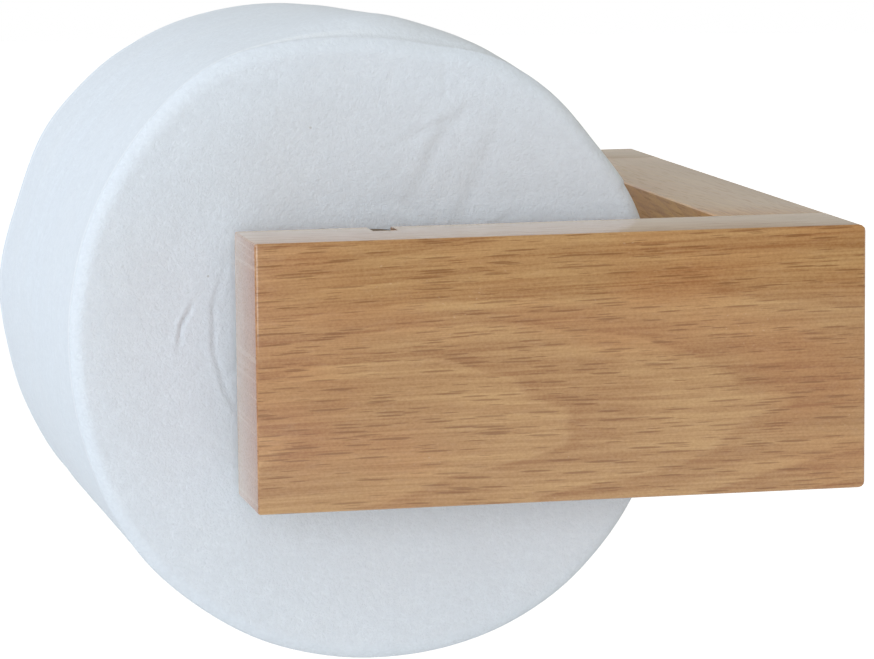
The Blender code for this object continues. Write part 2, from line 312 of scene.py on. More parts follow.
# %% The whole section, turned into a grid
AROUND = 560
near = end_section()
edge_x = near[-1][0]
side_radius = near[-1][1]
side = [(edge_x - 2 * edge_x * i / SIDE_STEPS, side_radius) for i in range(1, SIDE_STEPS)]
coarse_near = near[:FACE_STEPS:2] + near[FACE_STEPS:]
far = [(-x, r) for x, r in reversed(coarse_near)]
section = np.array(near + side + far)
angle = np.linspace(0, 2 * np.pi, AROUND, endpoint=False)
along, radius = [np.tile(column, (AROUND, 1)) for column in section.T]
turn = np.tile(angle[:, None], (1, len(section)))
print("roll grid:", along.shape, "radius", round(ROLL_RADIUS, 4), "half length", round(ROLL_HALF, 4))

# %% [markdown]
# ## Soft lumps, dished ends and the last sheet's edge
#
# The rules come from looking closely at the photograph. The end near the arm was squeezed a little
# from the front and towards the wall, and bulges at its top. The bulge reaches further along the roll
# than the squeezes do. The far end is flatter in a few places. Slow random waves give the rest of the
# outline its wobble, and faint bands run round the side where the web was pressed. The ends sink by
# under a millimetre towards the tube. The outermost sheet ends in a step no thicker than a few plies.
# All the waves are sums of cosines with seeded phases, so the roll comes out the same each time.
# Places round the roll are angles in degrees: 0 points to the wall and 90 straight up.

# %% Rules for waves and dents
chance = np.random.default_rng(12)


def waves(u, v, count, most_turns, spread_v, size):
    total = np.zeros_like(u)
    for _ in range(count):
        turns = chance.integers(1, most_turns + 1)
        total += np.cos(turns * u + chance.uniform(-spread_v, spread_v) * v + chance.uniform(0, 2 * np.pi))
    return size * total / math.sqrt(count)


def dents(*places):
    total = np.zeros_like(turn)
    for centre, width, height in places:
        gap = np.angle(np.exp(1j * (turn - math.radians(centre))))
        total += height * MM * np.exp(-((gap / math.radians(width)) ** 2))
    return total


# %% Squeeze and bulge the outline
CALM_RADIUS = 30 * MM
DROOP_REACH = 5.5 * MM
NEAR_FADE, BULGE_FADE, FAR_FADE = 1.6, 0.7, 1.2
near_end = np.clip((along + ROLL_HALF) / (2 * ROLL_HALF), 0, 1)
outward = np.clip((radius - CALM_RADIUS) / (ROLL_RADIUS - CALM_RADIUS), 0, 1) ** 2
near_press = dents((40, 12, -1.9), (10, 18, -2.8), (190, 32, -2.4), (-60, 20, 1.0), (234, 10, -0.4))
near_bulge = dents((67, 10, 1.1), (87, 15, 2.9), (116, 18, 2.2))
far_press = dents((161, 11, -1.3), (190, 22, -0.8), (20, 25, -0.8))
rim_droop = dents((86, 19, -4.8)) * np.exp(-(((ROLL_HALF - along) / DROOP_REACH) ** 2))
pressed = near_press * near_end**NEAR_FADE + near_bulge * near_end**BULGE_FADE
pressed += far_press * (1 - near_end) ** FAR_FADE + rim_droop
print("pressed in by", round(float(-pressed.min()) / MM, 2), "mm at most")

# %% Lumps, bands and the last sheet's edge
lumps = waves(turn, along, count=14, most_turns=9, spread_v=30, size=0.12 * MM)
lumps += waves(turn, along, count=10, most_turns=26, spread_v=60, size=0.04 * MM)
bands = np.zeros_like(along)
for shortest, longest, height in ((6, 26, 0.04), (3.5, 7, 0.02)):
    for _ in range(6):
        length = chance.uniform(shortest, longest) * MM
        bands += height * MM * np.cos(2 * np.pi * along / length + chance.uniform(0, 2 * np.pi))
LAST_SHEET_AT = math.radians(31)
LAST_SHEET_STEP = 0.30 * MM
since_end = np.mod(turn - LAST_SHEET_AT, 2 * np.pi) / (2 * np.pi)
last_sheet = LAST_SHEET_STEP * (1 - np.clip(since_end / 0.5, 0, 1) ** 0.5) - LAST_SHEET_STEP / 2
radius = radius + outward * (pressed + lumps + bands + last_sheet)
print("largest radius", round(float(radius.max()) / MM, 2), "mm")

# %% Dish the ends
DISH_DEPTH = 0.7 * MM
DISH_FLOOR_RADIUS = 36 * MM
DISH_WALL = 14 * MM
sunk = np.clip((radius - DISH_FLOOR_RADIUS) / DISH_WALL, 0, 1)
dish = DISH_DEPTH * (1 - sunk * sunk * (3 - 2 * sunk))
end_sign = np.sign(along) * (np.abs(along) > ROLL_HALF - SHOULDER_RADIUS)
swell = waves(turn, radius, count=12, most_turns=7, spread_v=220, size=0.09 * MM)
fades_out = np.clip((ROLL_RADIUS - radius) / SHOULDER_RADIUS, 0, 1)
along = along + end_sign * (swell - dish) * fades_out
print("dish", round(float(dish.max()) / MM, 2), "mm")

# %% [markdown]
# ## Creases
#
# A few folds show on the near end: a short sharp one left of the arm, arcs round the tube, and some
# long slanted ones above the arm. Each crease is a path of a few corners on the end, and a corner is
# given by its distance from the roll's middle in millimetres and its angle in degrees. Every grid
# point near the path sinks by a small bell curve, which fades towards both ends of the path. Beside it
# runs a ridge of half the height, because paper that goes down in a fold comes up next to it.

# %% How a crease moves the paper
RIDGE_HEIGHT = 0.5
RIDGE_AWAY = 1.6
CREASE_REACH = 4


def on_the_end(far_mm, degrees):
    a = math.radians(degrees)
    return far_mm * MM * np.array([math.cos(a), math.sin(a)])


def crease(path, depth, width, end=1):
    y, z = radius * np.cos(turn), radius * np.sin(turn)
    corners = [on_the_end(*corner) for corner in path]
    nearest, offset, travelled = np.full_like(y, np.inf), np.zeros_like(y), np.zeros_like(y)
    for i, (start, stop) in enumerate(zip(corners, corners[1:])):
        run = stop - start
        t = np.clip(((y - start[0]) * run[0] + (z - start[1]) * run[1]) / (run @ run), 0, 1)
        off_y, off_z = y - start[0] - t * run[0], z - start[1] - t * run[1]
        away = np.hypot(off_y, off_z) / (width * MM)
        closer = away < nearest
        nearest = np.where(closer, away, nearest)
        aside = (off_z * run[0] - off_y * run[1]) / np.hypot(*run) / (width * MM)
        offset = np.where(closer, aside, offset)
        travelled = np.where(closer, (i + t) / (len(path) - 1), travelled)
    fade = np.sin(np.pi * np.clip(travelled, 0.02, 0.98)) ** 0.5
    ridge = RIDGE_HEIGHT * np.exp(-((offset - RIDGE_AWAY) ** 2)) * (nearest < CREASE_REACH)
    return end * depth * MM * fade * (ridge - np.exp(-(nearest**2))) * (end_sign == end)


# %% Draw the creases that the photograph shows
folds = crease([(34.8, 178), (34.4, 171), (33.2, 164)], depth=0.40, width=0.42)
folds += crease([(26.4, 207), (27.3, 193), (28.4, 178), (29.6, 163), (30.5, 149)], depth=0.20, width=0.5)
folds += crease([(27.4, 240), (26.8, 222), (26.6, 206)], depth=0.16, width=0.6)
folds += crease([(27, 74), (36, 71.5), (42, 70), (47, 66)], depth=0.20, width=1.4)
folds += crease([(27, 53), (36, 57), (45, 59)], depth=0.17, width=1.7)
folds += crease([(35.2, 86), (40, 75), (43.9, 68.6)], depth=0.10, width=0.7)
folds += crease([(45.5, 72.5), (48, 74), (52, 75)], depth=0.12, width=0.6)
folds += crease([(23, 52), (25.4, 70), (27, 86)], depth=0.16, width=1.2)
print("deepest fold", round(float(-folds.min()) / MM, 2), "mm")

# %% Add small random creases round the bore, on both ends
SMALL_CREASES = 18
for i in range(SMALL_CREASES):
    at = chance.uniform(0, 360)
    inner = chance.uniform(22, 26)
    reach, swing = chance.uniform(4, 12), chance.uniform(-14, 14)
    path = [(inner, at), (inner + reach, at + swing)]
    folds += crease(path, depth=0.11, width=0.8, end=1 if i % 2 else -1)
along = along + folds
print(SMALL_CREASES, "small creases added")

# %% [markdown]
# ## From grid to mesh
#
# The moved grid becomes faces: each angle row is joined to the next, and the last to the first. The
# bore is closed by joining the two inner rings, which leaves a room for the card tube. The roll rides
# on the body that turns, so it spins with its tube.

# %% Build the roll's mesh
SOFT_EDGE = math.radians(50)
rows, columns = along.shape
points = np.stack([along, roll_y + radius * np.cos(turn), roll_z + radius * np.sin(turn)], axis=-1)
row = np.arange(rows)[:, None]
column = np.arange(columns)[None, :]
next_row, next_column = (row + 1) % rows, (column + 1) % columns
here, there = row * columns, next_row * columns
corners = [here + column, here + next_column, there + next_column, there + column]
quads = np.stack(corners, axis=-1).reshape(-1, 4)
roll_mesh = bpy.data.meshes.new("soft_paper_roll")
roll_mesh.from_pydata(points.reshape(-1, 3).tolist(), [], quads.tolist())
roll_mesh.validate()
shape = bmesh.new()
shape.from_mesh(roll_mesh)
bmesh.ops.recalc_face_normals(shape, faces=shape.faces)
shape.to_mesh(roll_mesh)
shape.free()
roll_mesh.shade_smooth()
roll_mesh.set_sharp_from_angle(angle=SOFT_EDGE)
roll = bpy.data.objects.new("soft_paper_roll", roll_mesh)
bpy.context.scene.collection.objects.link(roll)
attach(roll, "roll")
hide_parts("paper_roll")
print("roll mesh:", len(roll_mesh.vertices), "points,", len(roll_mesh.polygons), "faces")

# %% [markdown]
# ## A helper for finishes
#
# Every finish below is a Principled shader whose colour, roughness and bump come from textures that
# are worked out in the shader itself. The first helper adds one node, sets its values and joins its
# inputs. The class keeps one finish together and knows the kinds of node that come back again and
# again, so that each finish reads as a short list of steps. Values that are the same all over a
# surface are set straight on the shader's own sockets.

# %% Helper: nodes in one line each
def add_node(tree, kind, inputs=None, **settings):
    node = tree.nodes.new(kind)
    for key, value in settings.items():
        setattr(node, key, value)
    for socket, value in (inputs or {}).items():
        if isinstance(value, bpy.types.NodeSocket):
            tree.links.new(value, node.inputs[socket])
        else:
            node.inputs[socket].default_value = value
    return node


class Finish:
    def __init__(self, name, **constants):
        self.material = bpy.data.materials.new(name)
        self.material.use_nodes = True
        self.tree = self.material.node_tree
        self.shader = self.tree.nodes["Principled BSDF"]
        self.set(**constants)
        self.place = self.add("ShaderNodeTexCoord").outputs["Object"]

    def set(self, **constants):
        for socket, value in constants.items():
            self.shader.inputs[socket.replace("_", " ")].default_value = value

    def add(self, kind, inputs=None, **settings):
        return add_node(self.tree, kind, inputs, **settings)

    def math(self, operation, *values, clamp=False):
        inputs = dict(enumerate(values))
        return self.add("ShaderNodeMath", inputs, operation=operation, use_clamp=clamp).outputs[0]

    def noise(self, vector, scale, detail=2.0, rough=0.5):
        inputs = {"Vector": vector, "Scale": scale, "Detail": detail, "Roughness": rough}
        return self.add("ShaderNodeTexNoise", inputs).outputs["Fac"]

    def stretch(self, vector, scale, turn=(0, 0, 0), shift=(0, 0, 0)):
        inputs = {"Vector": vector, "Scale": scale, "Rotation": turn, "Location": shift}
        return self.add("ShaderNodeMapping", inputs).outputs["Vector"]

    def range(self, value, low, high, to_low=0.0, to_high=1.0, smooth=True):
        inputs = {"Value": value, "From Min": low, "From Max": high, "To Min": to_low, "To Max": to_high}
        kind = "SMOOTHSTEP" if smooth else "LINEAR"
        return self.add("ShaderNodeMapRange", inputs, interpolation_type=kind).outputs["Result"]

    def blend(self, amount, first, second, kind="MIX"):
        inputs = {0: amount}
        for index, colour in ((6, first), (7, second)):
            inputs[index] = colour if isinstance(colour, bpy.types.NodeSocket) else (*colour, 1.0)
        return self.add("ShaderNodeMix", inputs, data_type="RGBA", blend_type=kind).outputs[2]

    def bump(self, height, depth, strength=1.0, under=None):
        inputs = {"Height": height, "Distance": depth, "Strength": strength}
        if under is not None:
            inputs["Normal"] = under
        return self.add("ShaderNodeBump", inputs).outputs["Normal"]

    def join(self, socket, value):
        self.tree.links.new(value, self.shader.inputs[socket])


def paint(piece, finish):
    piece.data.materials.clear()
    piece.data.materials.append(finish.material)


# %% [markdown]
# ## Oak, cut from a tree
#
# A plank shows the log's yearly rings where the saw crossed them. A flat picture of grain would not
# match round the corners of a board, so the wood here is solid: the shader finds how far each point
# lies from the heart of the log and counts rings. Where the plank leans away from the log's line, the
# rings close in arches, as on the near arm's lower half. Each ring starts with a band of open, darker
# wood and a thin line at its edge. In this space the grain runs along Y, and each board is turned
# into it and shifted to its own place in the log.

# %% Yearly rings
RING_WIDTH = 1.5 * MM


def bent_grain(f, grain):
    slow = {"Vector": f.stretch(grain, (22, 7, 22)), "Scale": 1.0, "Detail": 2.0}
    wander = f.add("ShaderNodeTexNoise", slow).outputs["Color"]
    middle = {0: wander, 1: (0.5, 0.5, 0.5)}
    sway = f.add("ShaderNodeVectorMath", middle, operation="SUBTRACT")
    bent = {0: sway.outputs[0], 1: (0.006, 0.0, 0.006), 2: grain}
    return f.add("ShaderNodeVectorMath", bent, operation="MULTIPLY_ADD").outputs[0]


def yearly_rings(f, flow, heart, lean, climb, ring, first_year):
    axis = f.add("ShaderNodeSeparateXYZ", {0: flow}).outputs
    deep = f.math("MULTIPLY_ADD", axis[1], lean, f.math("ADD", axis[0], heart[0]))
    across = f.math("MULTIPLY_ADD", axis[1], climb, f.math("ADD", axis[2], heart[1]))
    far = f.math("SQRT", f.math("ADD", f.math("MULTIPLY", deep, deep), f.math("MULTIPLY", across, across)))
    uneven = f.noise(f.stretch(flow, (75, 24, 75), shift=(2, 6, 1)), 1.0, 3.0, 0.6)
    years = f.math("ADD", f.math("ADD", uneven, f.math("DIVIDE", far, ring)), first_year)
    phase = f.math("FRACT", years)
    open_wood = f.math("SUBTRACT", 1.0, f.range(phase, 0.25, 0.90))
    early = f.math("MULTIPLY", f.range(phase, 0.0, 0.10), open_wood)
    thin = f.math("SUBTRACT", 1.0, f.range(phase, 0.08, 0.26))
    line = f.math("MULTIPLY", f.range(phase, 0.0, 0.05), thin)
    return early, line


# %% [markdown]
# ## Fibres, patches, pores and rays
#
# Between the rings the wood is a mixture of straw and brown in fine fibres and streaks along the
# grain, with warmer patches as wide as a thumb. Stretched noise makes them: a scale of 1600 across
# the grain and 24 along it gives streaks about half a millimetre wide and four centimetres long.
# End grain drinks the finish and comes out darker.
# The pores are thin vessels along the grain. They are stretched cells, so they come out as dashes on
# the long faces and as dots on the end grain. Rays run from the heart outwards and show as faint
# pale flecks.

# %% The oak's colour
STRAW_OAK = (0.578, 0.335, 0.133)
BROWN_OAK = (0.345, 0.146, 0.038)
WARM_PATCH = (0.98, 0.87, 0.78)
END_GRAIN = (0.80, 0.58, 0.42)
RAY_PALE = (0.680, 0.470, 0.310)


def oak_colour(f, grain, flow, fibre, early, line, tint):
    streak = f.noise(f.stretch(flow, (1600, 24, 1600), shift=(4, 4, 4)), 1.0, 2.0, 0.6)
    broad = f.noise(f.stretch(flow, (380, 9, 380), shift=(6, 1, 3)), 1.0, 2.0, 0.5)
    patch = f.noise(f.stretch(grain, (70, 26, 70), shift=(3, 1, 2)), 1.0, 2.0, 0.5)
    tooth = f.noise(f.stretch(grain, (2600, 1700, 2600), shift=(2, 9, 5)), 1.0, 2.0, 0.6)
    tone = f.math("MULTIPLY", f.range(streak, 0.3, 0.7), 0.44)
    tone = f.math("MULTIPLY_ADD", early, 0.24, tone)
    tone = f.math("MULTIPLY_ADD", line, 0.12, tone)
    tone = f.math("MULTIPLY_ADD", f.range(fibre, 0.30, 0.70), 0.26, tone)
    tone = f.math("MULTIPLY_ADD", f.range(broad, 0.3, 0.7), 0.06, tone)
    tone = f.math("MULTIPLY_ADD", f.math("SUBTRACT", tooth, 0.5), 0.80, tone, clamp=True)
    colour = f.blend(tone, STRAW_OAK, BROWN_OAK)
    warmer = f.blend(1.0, colour, WARM_PATCH, "MULTIPLY")
    colour = f.blend(f.range(patch, 0.36, 0.60, 1.0, 0.0), colour, warmer)
    return f.blend(1.0, colour, tint, "MULTIPLY")


def end_grain_and_rays(f, grain, turn, colour):
    facing = f.stretch(f.add("ShaderNodeNewGeometry").outputs["Normal"], (1, 1, 1), turn=turn)
    end_grain = f.add("ShaderNodeSeparateXYZ", {0: facing}).outputs[1]
    end_grain = f.range(f.math("ABSOLUTE", end_grain), 0.6, 0.9)
    colour = f.blend(end_grain, colour, f.blend(1.0, colour, END_GRAIN, "MULTIPLY"))
    sheets = f.stretch(grain, (14, 300, 1150), turn=(0, math.radians(5), 0), shift=(8, 2, 6))
    ray = f.range(f.noise(sheets, 1.0, 1.0, 0.5), 0.56, 0.70)
    shown = f.math("MULTIPLY", ray, f.math("MULTIPLY_ADD", end_grain, 0.26, 0.04))
    return f.blend(shown, colour, RAY_PALE)


print("oak runs from", STRAW_OAK, "to", BROWN_OAK)

# %% Pores and flecks
PORE_BROWN = (0.235, 0.086, 0.012)
PORE_LAYERS = (
    ((1150, 62, 1150), 0.0, 0.25),
    ((1350, 74, 1350), 5.0, 0.24),
    ((2100, 95, 2100), 9.0, 0.20),
)


def pore_dashes(f, flow, early):
    pores = None
    for cells, at, width in PORE_LAYERS:
        inputs = {"Vector": f.stretch(flow, cells, shift=(at, at, at)), "Scale": 1.0, "Randomness": 0.85}
        distance = f.add("ShaderNodeTexVoronoi", inputs).outputs["Distance"]
        layer = f.range(distance, width * 0.6, width, 1.0, 0.0)
        pores = layer if pores is None else f.math("MAXIMUM", pores, layer)
    return f.math("MULTIPLY", pores, f.range(early, 0.0, 0.5, 0.8, 1.0))


def pale_flecks(f, grain, colour):
    where = f.range(f.noise(f.stretch(grain, (80, 60, 80), shift=(7, 3, 5)), 1.0, 2.0), 0.55, 0.68)
    fleck = f.noise(f.stretch(grain, (2000, 1100, 2000), shift=(1, 8, 4)), 1.0, 1.0)
    shown = f.math("MULTIPLY", f.math("MULTIPLY", f.range(fleck, 0.66, 0.78), where), 0.35)
    return f.blend(shown, colour, RAY_PALE)


print("pores in", len(PORE_LAYERS), "sizes")

# %% [markdown]
# ## The oiled and waxed surface
#
# The boards carry a thin smooth film, so a coat lies over the wood. Seen at a slant, as the arm's top
# is in the photograph, it mirrors the pale room. A warm sheen stands for the finest fibres, which
# catch light at the same slant. Under the film the wood is a little rough, and rougher in the pores,
# which the bump also sinks.

# %% The oak finish
WARM_SHEEN = (1.0, 0.86, 0.72, 1.0)
PORE_SINK = 0.05 * MM


def oak(
    name, turn, shift, heart, lean,
    tint=(1, 1, 1), climb=0.0, ring=RING_WIDTH, first_year=0.0, rough=0.30, open_pores=0.74,
):
    f = Finish(name, IOR=1.38, Coat_Weight=1.0, Coat_Roughness=0.10, Coat_IOR=1.54)
    f.set(Sheen_Tint=WARM_SHEEN, Sheen_Weight=0.65, Sheen_Roughness=0.22)
    grain = f.stretch(f.place, (1, 1, 1), turn=turn, shift=shift)
    flow = bent_grain(f, grain)
    early, line = yearly_rings(f, flow, heart, lean, climb, ring, first_year)
    fibre = f.noise(f.stretch(flow, (2300, 48, 2300)), 1.0, 3.0, 0.65)
    pores = pore_dashes(f, flow, early)

    colour = oak_colour(f, grain, flow, fibre, early, line, tint)
    colour = end_grain_and_rays(f, grain, turn, colour)
    colour = f.blend(f.math("MULTIPLY", pores, open_pores), colour, PORE_BROWN)
    f.join("Base Color", pale_flecks(f, grain, colour))

    gloss = f.math("MULTIPLY_ADD", fibre, 0.16, rough - 0.06)
    f.join("Roughness", f.math("ADD", gloss, f.math("MULTIPLY", pores, 0.25), clamp=True))
    relief = f.math("SUBTRACT", f.math("MULTIPLY", fibre, 0.25), pores)
    f.join("Normal", f.bump(relief, PORE_SINK, 0.5))
    return f


# %% Three boards from three places in the log
ALONG_X = (0.0, 0.0, math.pi / 2)
right_oak = oak(
    "oak_near_arm", turn=(math.radians(-1.3), 0, 0), shift=(0, 0, 0), heart=(-5 * MM, -0.7 * MM),
    lean=0.02, climb=-0.0965, first_year=0.64,
)
left_oak = oak(
    "oak_far_arm", turn=(math.radians(1.2), 0, 0), shift=(0.31, 0.47, 0.13), heart=(-0.27, -0.12),
    lean=-0.10, tint=(1.09, 1.06, 0.84),
)
# The wall board's warmer, paler tint is partly its own colour and partly painted light: it stands in for
# the warm light on its shaded inner face.
wall_oak = oak(
    "oak_wall_board", turn=ALONG_X, shift=(0.62, 0.19, 0.41), heart=(-0.60, -0.39),
    lean=0.09, tint=(1.28, 1.17, 0.60), open_pores=0.35,
)
paint(arms["right"], right_oak)
paint(arms["left"], left_oak)
paint(wall_board, wall_oak)
print("oak finishes:", right_oak.material.name, left_oak.material.name, wall_oak.material.name)

# %% [markdown]
# ## Turned oak, beech, and card
#
# The roller is oak too, turned on a lathe with its grain along the rod, and left a little rougher.
# The dowels are beech: pale, with short flecks. Both sit inside, but whoever takes the holder apart
# finds them. The tube is grey-brown card, wound in a slanting strip, so a seam climbs round it: the
# shader adds the angle round the tube to the way along it and draws a thin line at each full turn.

# %% Roller and dowels
turned_oak = oak(
    "oak_turned", turn=ALONG_X, shift=(0.83, 0.29, 0.55), heart=(-0.81, -0.54), lean=0.04,
    ring=1.6 * MM, rough=0.5,
)
paint(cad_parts["oak_roller"], turned_oak)

BEECH_PALE = (0.66, 0.44, 0.27)
BEECH_DEEP = (0.55, 0.34, 0.19)
BEECH_FLECK = (0.36, 0.19, 0.10)
beech = Finish("beech_dowel", Specular_IOR_Level=0.4)
beech_fleck = beech.noise(beech.stretch(beech.place, (300, 1800, 1800)), 1.0, 2.0)
beech_fibre = beech.noise(beech.stretch(beech.place, (60, 2400, 2400)), 1.0, 3.0)
beech_colour = beech.blend(beech.range(beech_fibre, 0.3, 0.7), BEECH_PALE, BEECH_DEEP)
beech_colour = beech.blend(beech.range(beech_fleck, 0.6, 0.72, 0.0, 0.5), beech_colour, BEECH_FLECK)
beech.join("Base Color", beech_colour)
beech.join("Roughness", beech.range(beech_fibre, 0.2, 0.8, 0.55, 0.75))
beech.join("Normal", beech.bump(beech_fibre, 0.05 * MM, 0.4))
for word in SIDES:
    for level in LEVELS:
        paint(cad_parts[f"{word}_{level}_dowel"], beech)
print("turned and fluted wood in", turned_oak.material.name, "and", beech.material.name)

# %% Card tube
CARD_PALE = (0.36, 0.29, 0.215)
CARD_DEEP = (0.27, 0.21, 0.15)
CARD_BLOT = (0.43, 0.36, 0.28)
SEAM_GLUE = (0.15, 0.11, 0.08)
SEAM_CLIMB = 62 * MM
card = Finish("wound_card", Specular_IOR_Level=0.25)
from_axis = card.stretch(card.place, (1, 1, 1), shift=(0, -roll_y, -roll_z))
card_axis = card.add("ShaderNodeSeparateXYZ", {0: from_axis}).outputs
card_turn = card.math("DIVIDE", card.math("ARCTAN2", card_axis[2], card_axis[1]), 2 * math.pi)
card_climb = card.math("FRACT", card.math("MULTIPLY_ADD", card_axis[0], 1 / SEAM_CLIMB, card_turn))
off_seam = card.math("ABSOLUTE", card.math("SUBTRACT", card_climb, 0.5))
card_seam = card.range(off_seam, 0.003, 0.010, 1.0, 0.0)
card_fibre = card.noise(card.place, 900.0, 4.0, 0.65)
card_blot = card.noise(card.place, 120.0, 3.0)
card_colour = card.blend(card.range(card_fibre, 0.3, 0.7), CARD_PALE, CARD_DEEP)
card_colour = card.blend(card.range(card_blot, 0.4, 0.7, 0.0, 0.4), card_colour, CARD_BLOT)
card.join("Base Color", card.blend(card.math("MULTIPLY", card_seam, 0.6), card_colour, SEAM_GLUE))
card.join("Roughness", card.range(card_fibre, 0.2, 0.8, 0.8, 0.95))
card.join("Normal", card.bump(card.math("SUBTRACT", card_fibre, card_seam), 0.08 * MM, 0.6))
paint(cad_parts["card_core"], card)
print("card tube in", card.material.name, "with a seam every", round(SEAM_CLIMB / MM), "mm")

# %% [markdown]
# ## Steel: a drawn rod, plated plates and screws
#
# The rod was drawn through a die, so its faint lines run along it and its shine is soft. The keyhole
# plates were stamped and plated: a pale metal with a slightly cloudy crystal pattern and a few rubbed
# spots. The screws carry the same finish. Metal shows what is around it, so the colour matters less
# than the roughness and the fine scratches.

# %% Rod
ROD_BRIGHT = (0.60, 0.59, 0.57)
ROD_WORN = (0.50, 0.49, 0.48)
SCRATCH_DEPTH = 0.02 * MM
rod_steel = Finish("drawn_steel", Metallic=1.0)
rod_lines = rod_steel.noise(rod_steel.stretch(rod_steel.place, (40, 4200, 4200)), 1.0, 3.0, 0.6)
rod_marks = rod_steel.noise(rod_steel.place, 260.0, 3.0)
rod_steel.join("Base Color", rod_steel.blend(rod_steel.range(rod_marks, 0.35, 0.7), ROD_BRIGHT, ROD_WORN))
rod_steel.join("Roughness", rod_steel.range(rod_lines, 0.25, 0.75, 0.24, 0.42))
rod_steel.join("Normal", rod_steel.bump(rod_lines, SCRATCH_DEPTH, 0.3))
paint(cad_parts["axle_rod"], rod_steel)
print("rod finish:", rod_steel.material.name)

# %% Plates and screws
PLATE_BRIGHT = (0.66, 0.67, 0.68)
PLATE_DULL = (0.57, 0.58, 0.60)
PLATE_RUBBED = (0.46, 0.45, 0.43)
plated = Finish("plated_steel", Metallic=1.0)
crystals = plated.add("ShaderNodeTexVoronoi", {"Vector": plated.place, "Scale": 620.0, "Randomness": 1.0})
crystal_tone = plated.add("ShaderNodeSeparateColor", {0: crystals.outputs["Color"]}).outputs[0]
rubbed = plated.range(plated.noise(plated.place, 180.0, 4.0, 0.6), 0.5, 0.72)
scratches = plated.noise(plated.stretch(plated.place, (2200, 400, 260)), 1.0, 3.0)
plate_colour = plated.blend(plated.range(crystal_tone, 0.0, 1.0, smooth=False), PLATE_BRIGHT, PLATE_DULL)
plate_colour = plated.blend(plated.math("MULTIPLY", rubbed, 0.4), plate_colour, PLATE_RUBBED)
plated.join("Base Color", plate_colour)
plate_gloss = plated.range(crystal_tone, 0.0, 1.0, 0.28, 0.40)
plated.join("Roughness", plated.math("ADD", plate_gloss, plated.math("MULTIPLY", rubbed, 0.15)))
plated.join("Normal", plated.bump(scratches, SCRATCH_DEPTH, 0.35))
for word in SIDES:
    paint(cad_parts[word + "_keyhole_plate"], plated)
    for level in LEVELS:
        paint(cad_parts[f"{word}_plate_{level}_screw"], plated)
print("plate and screw finish:", plated.material.name)

# %% [markdown]
# ## Soft paper
#
# Tissue is made of short fibres, so it scatters light evenly and has hardly any shine. Its white is
# slightly cool. Very fine noise gives it a tooth, two broader ones the fuzzy and cloudy look that
# crushed layers have, and a handful of specks stands for the bits of bark that stay in the pulp.
# Round the end, where the cut edges stand up in a thin lip, the paper gets a painted highlight: it is
# painted paler on the side that faces the window, and less and less so away from it.

# %% White with clouds, fuzz and a painted highlight on the lip
WHITE_PAPER = (0.822, 0.876, 0.945)
DIM_PAPER = (0.765, 0.812, 0.878)
WARM_PAPER = (0.810, 0.845, 0.895)
# The next colour is the colour of the painted highlight on the lip.
LIP_HIGHLIGHT_PAPER = (0.885, 0.925, 0.975)
LIP_BACK = 0.6 * MM
paper = Finish("soft_paper", Specular_IOR_Level=0.1, Sheen_Weight=0.12, Sheen_Roughness=0.6)
tooth = paper.noise(paper.place, 2500.0, 3.0, 0.7)
fuzz = paper.noise(paper.stretch(paper.place, (1000, 1250, 1250)), 1.0, 3.0, 0.6)
cloud = paper.noise(paper.place, 380.0, 4.0, 0.6)
slow = paper.noise(paper.place, 40.0, 3.0, 0.55)
white = paper.blend(paper.range(cloud, 0.3, 0.7, 0.1, 0.7), WHITE_PAPER, DIM_PAPER)
white = paper.blend(paper.range(slow, 0.35, 0.7, 0.0, 0.4), white, WARM_PAPER)
white = paper.blend(paper.range(fuzz, 0.35, 0.7, 0.0, 0.8), white, DIM_PAPER)
paper_axis = paper.add("ShaderNodeSeparateXYZ", {0: paper.place}).outputs
end_way = paper.math("ABSOLUTE", paper_axis[0])
off_lip = paper.math("ABSOLUTE", paper.math("SUBTRACT", end_way, edge_x + LIP_BACK))
# Painted highlight: the lip is made paler where it faces the window, and fades away from it.
lip_highlight = paper.range(off_lip, 0.3 * MM, 1.1 * MM, 1.0, 0.0)
from_middle = paper.math("SUBTRACT", roll_y, paper_axis[1])
window_way = paper.math("MULTIPLY_ADD", paper_axis[2], 0.3, from_middle)
lip_highlight = paper.math("MULTIPLY", lip_highlight, paper.range(window_way, 5 * MM, 35 * MM))
lip_highlight = paper.math("MULTIPLY", lip_highlight, paper.range(fuzz, 0.35, 0.6, 0.3, 0.9))
white = paper.blend(lip_highlight, white, LIP_HIGHLIGHT_PAPER)
print("paper from", DIM_PAPER, "to", LIP_HIGHLIGHT_PAPER)

# %% Specks, tooth and relief
SPECK = (0.36, 0.31, 0.26)
END_SOFT, END_ROUGH = 0.08, 0.75
speck_cells = paper.add("ShaderNodeTexVoronoi", {"Vector": paper.place, "Scale": 95.0, "Randomness": 1.0})
speck = paper.range(speck_cells.outputs["Distance"], 0.016, 0.030, 0.4, 0.0)
paper.join("Base Color", paper.blend(speck, white, SPECK))
paper.join("Roughness", paper.range(tooth, 0.2, 0.8, 0.9, 1.0))
cut_end = paper.range(end_way, ROLL_HALF - 4 * MM, ROLL_HALF - 1.5 * MM, END_SOFT, END_ROUGH)
paper_relief = paper.math("MULTIPLY_ADD", fuzz, 0.75, cloud)
paper_relief = paper.math("MULTIPLY_ADD", tooth, cut_end, paper_relief)
paper.join("Normal", paper.bump(paper_relief, 0.35 * MM, 0.55))
paint(roll, paper)
print("paper finish:", paper.material.name)

# %% [markdown]
# ## Floor and white surroundings
#
# The photograph shows the holder against plain white. Here a pale floor lies well below it, far enough
# that its soft shadow stays out of the picture, and the camera sees both the floor and the
# surroundings as white. The light that reaches the object is another matter: the window side, where
# the paper's side faces, is bright and cool, and the side behind the wall board is dim and a little
# warm. Gloss on wood and steel sees white on the window side as well, but less of it towards the wall,
# and a slightly darker floor. The Light Path node tells the kinds of looking apart, and the direction
# of a ray tells the sides.

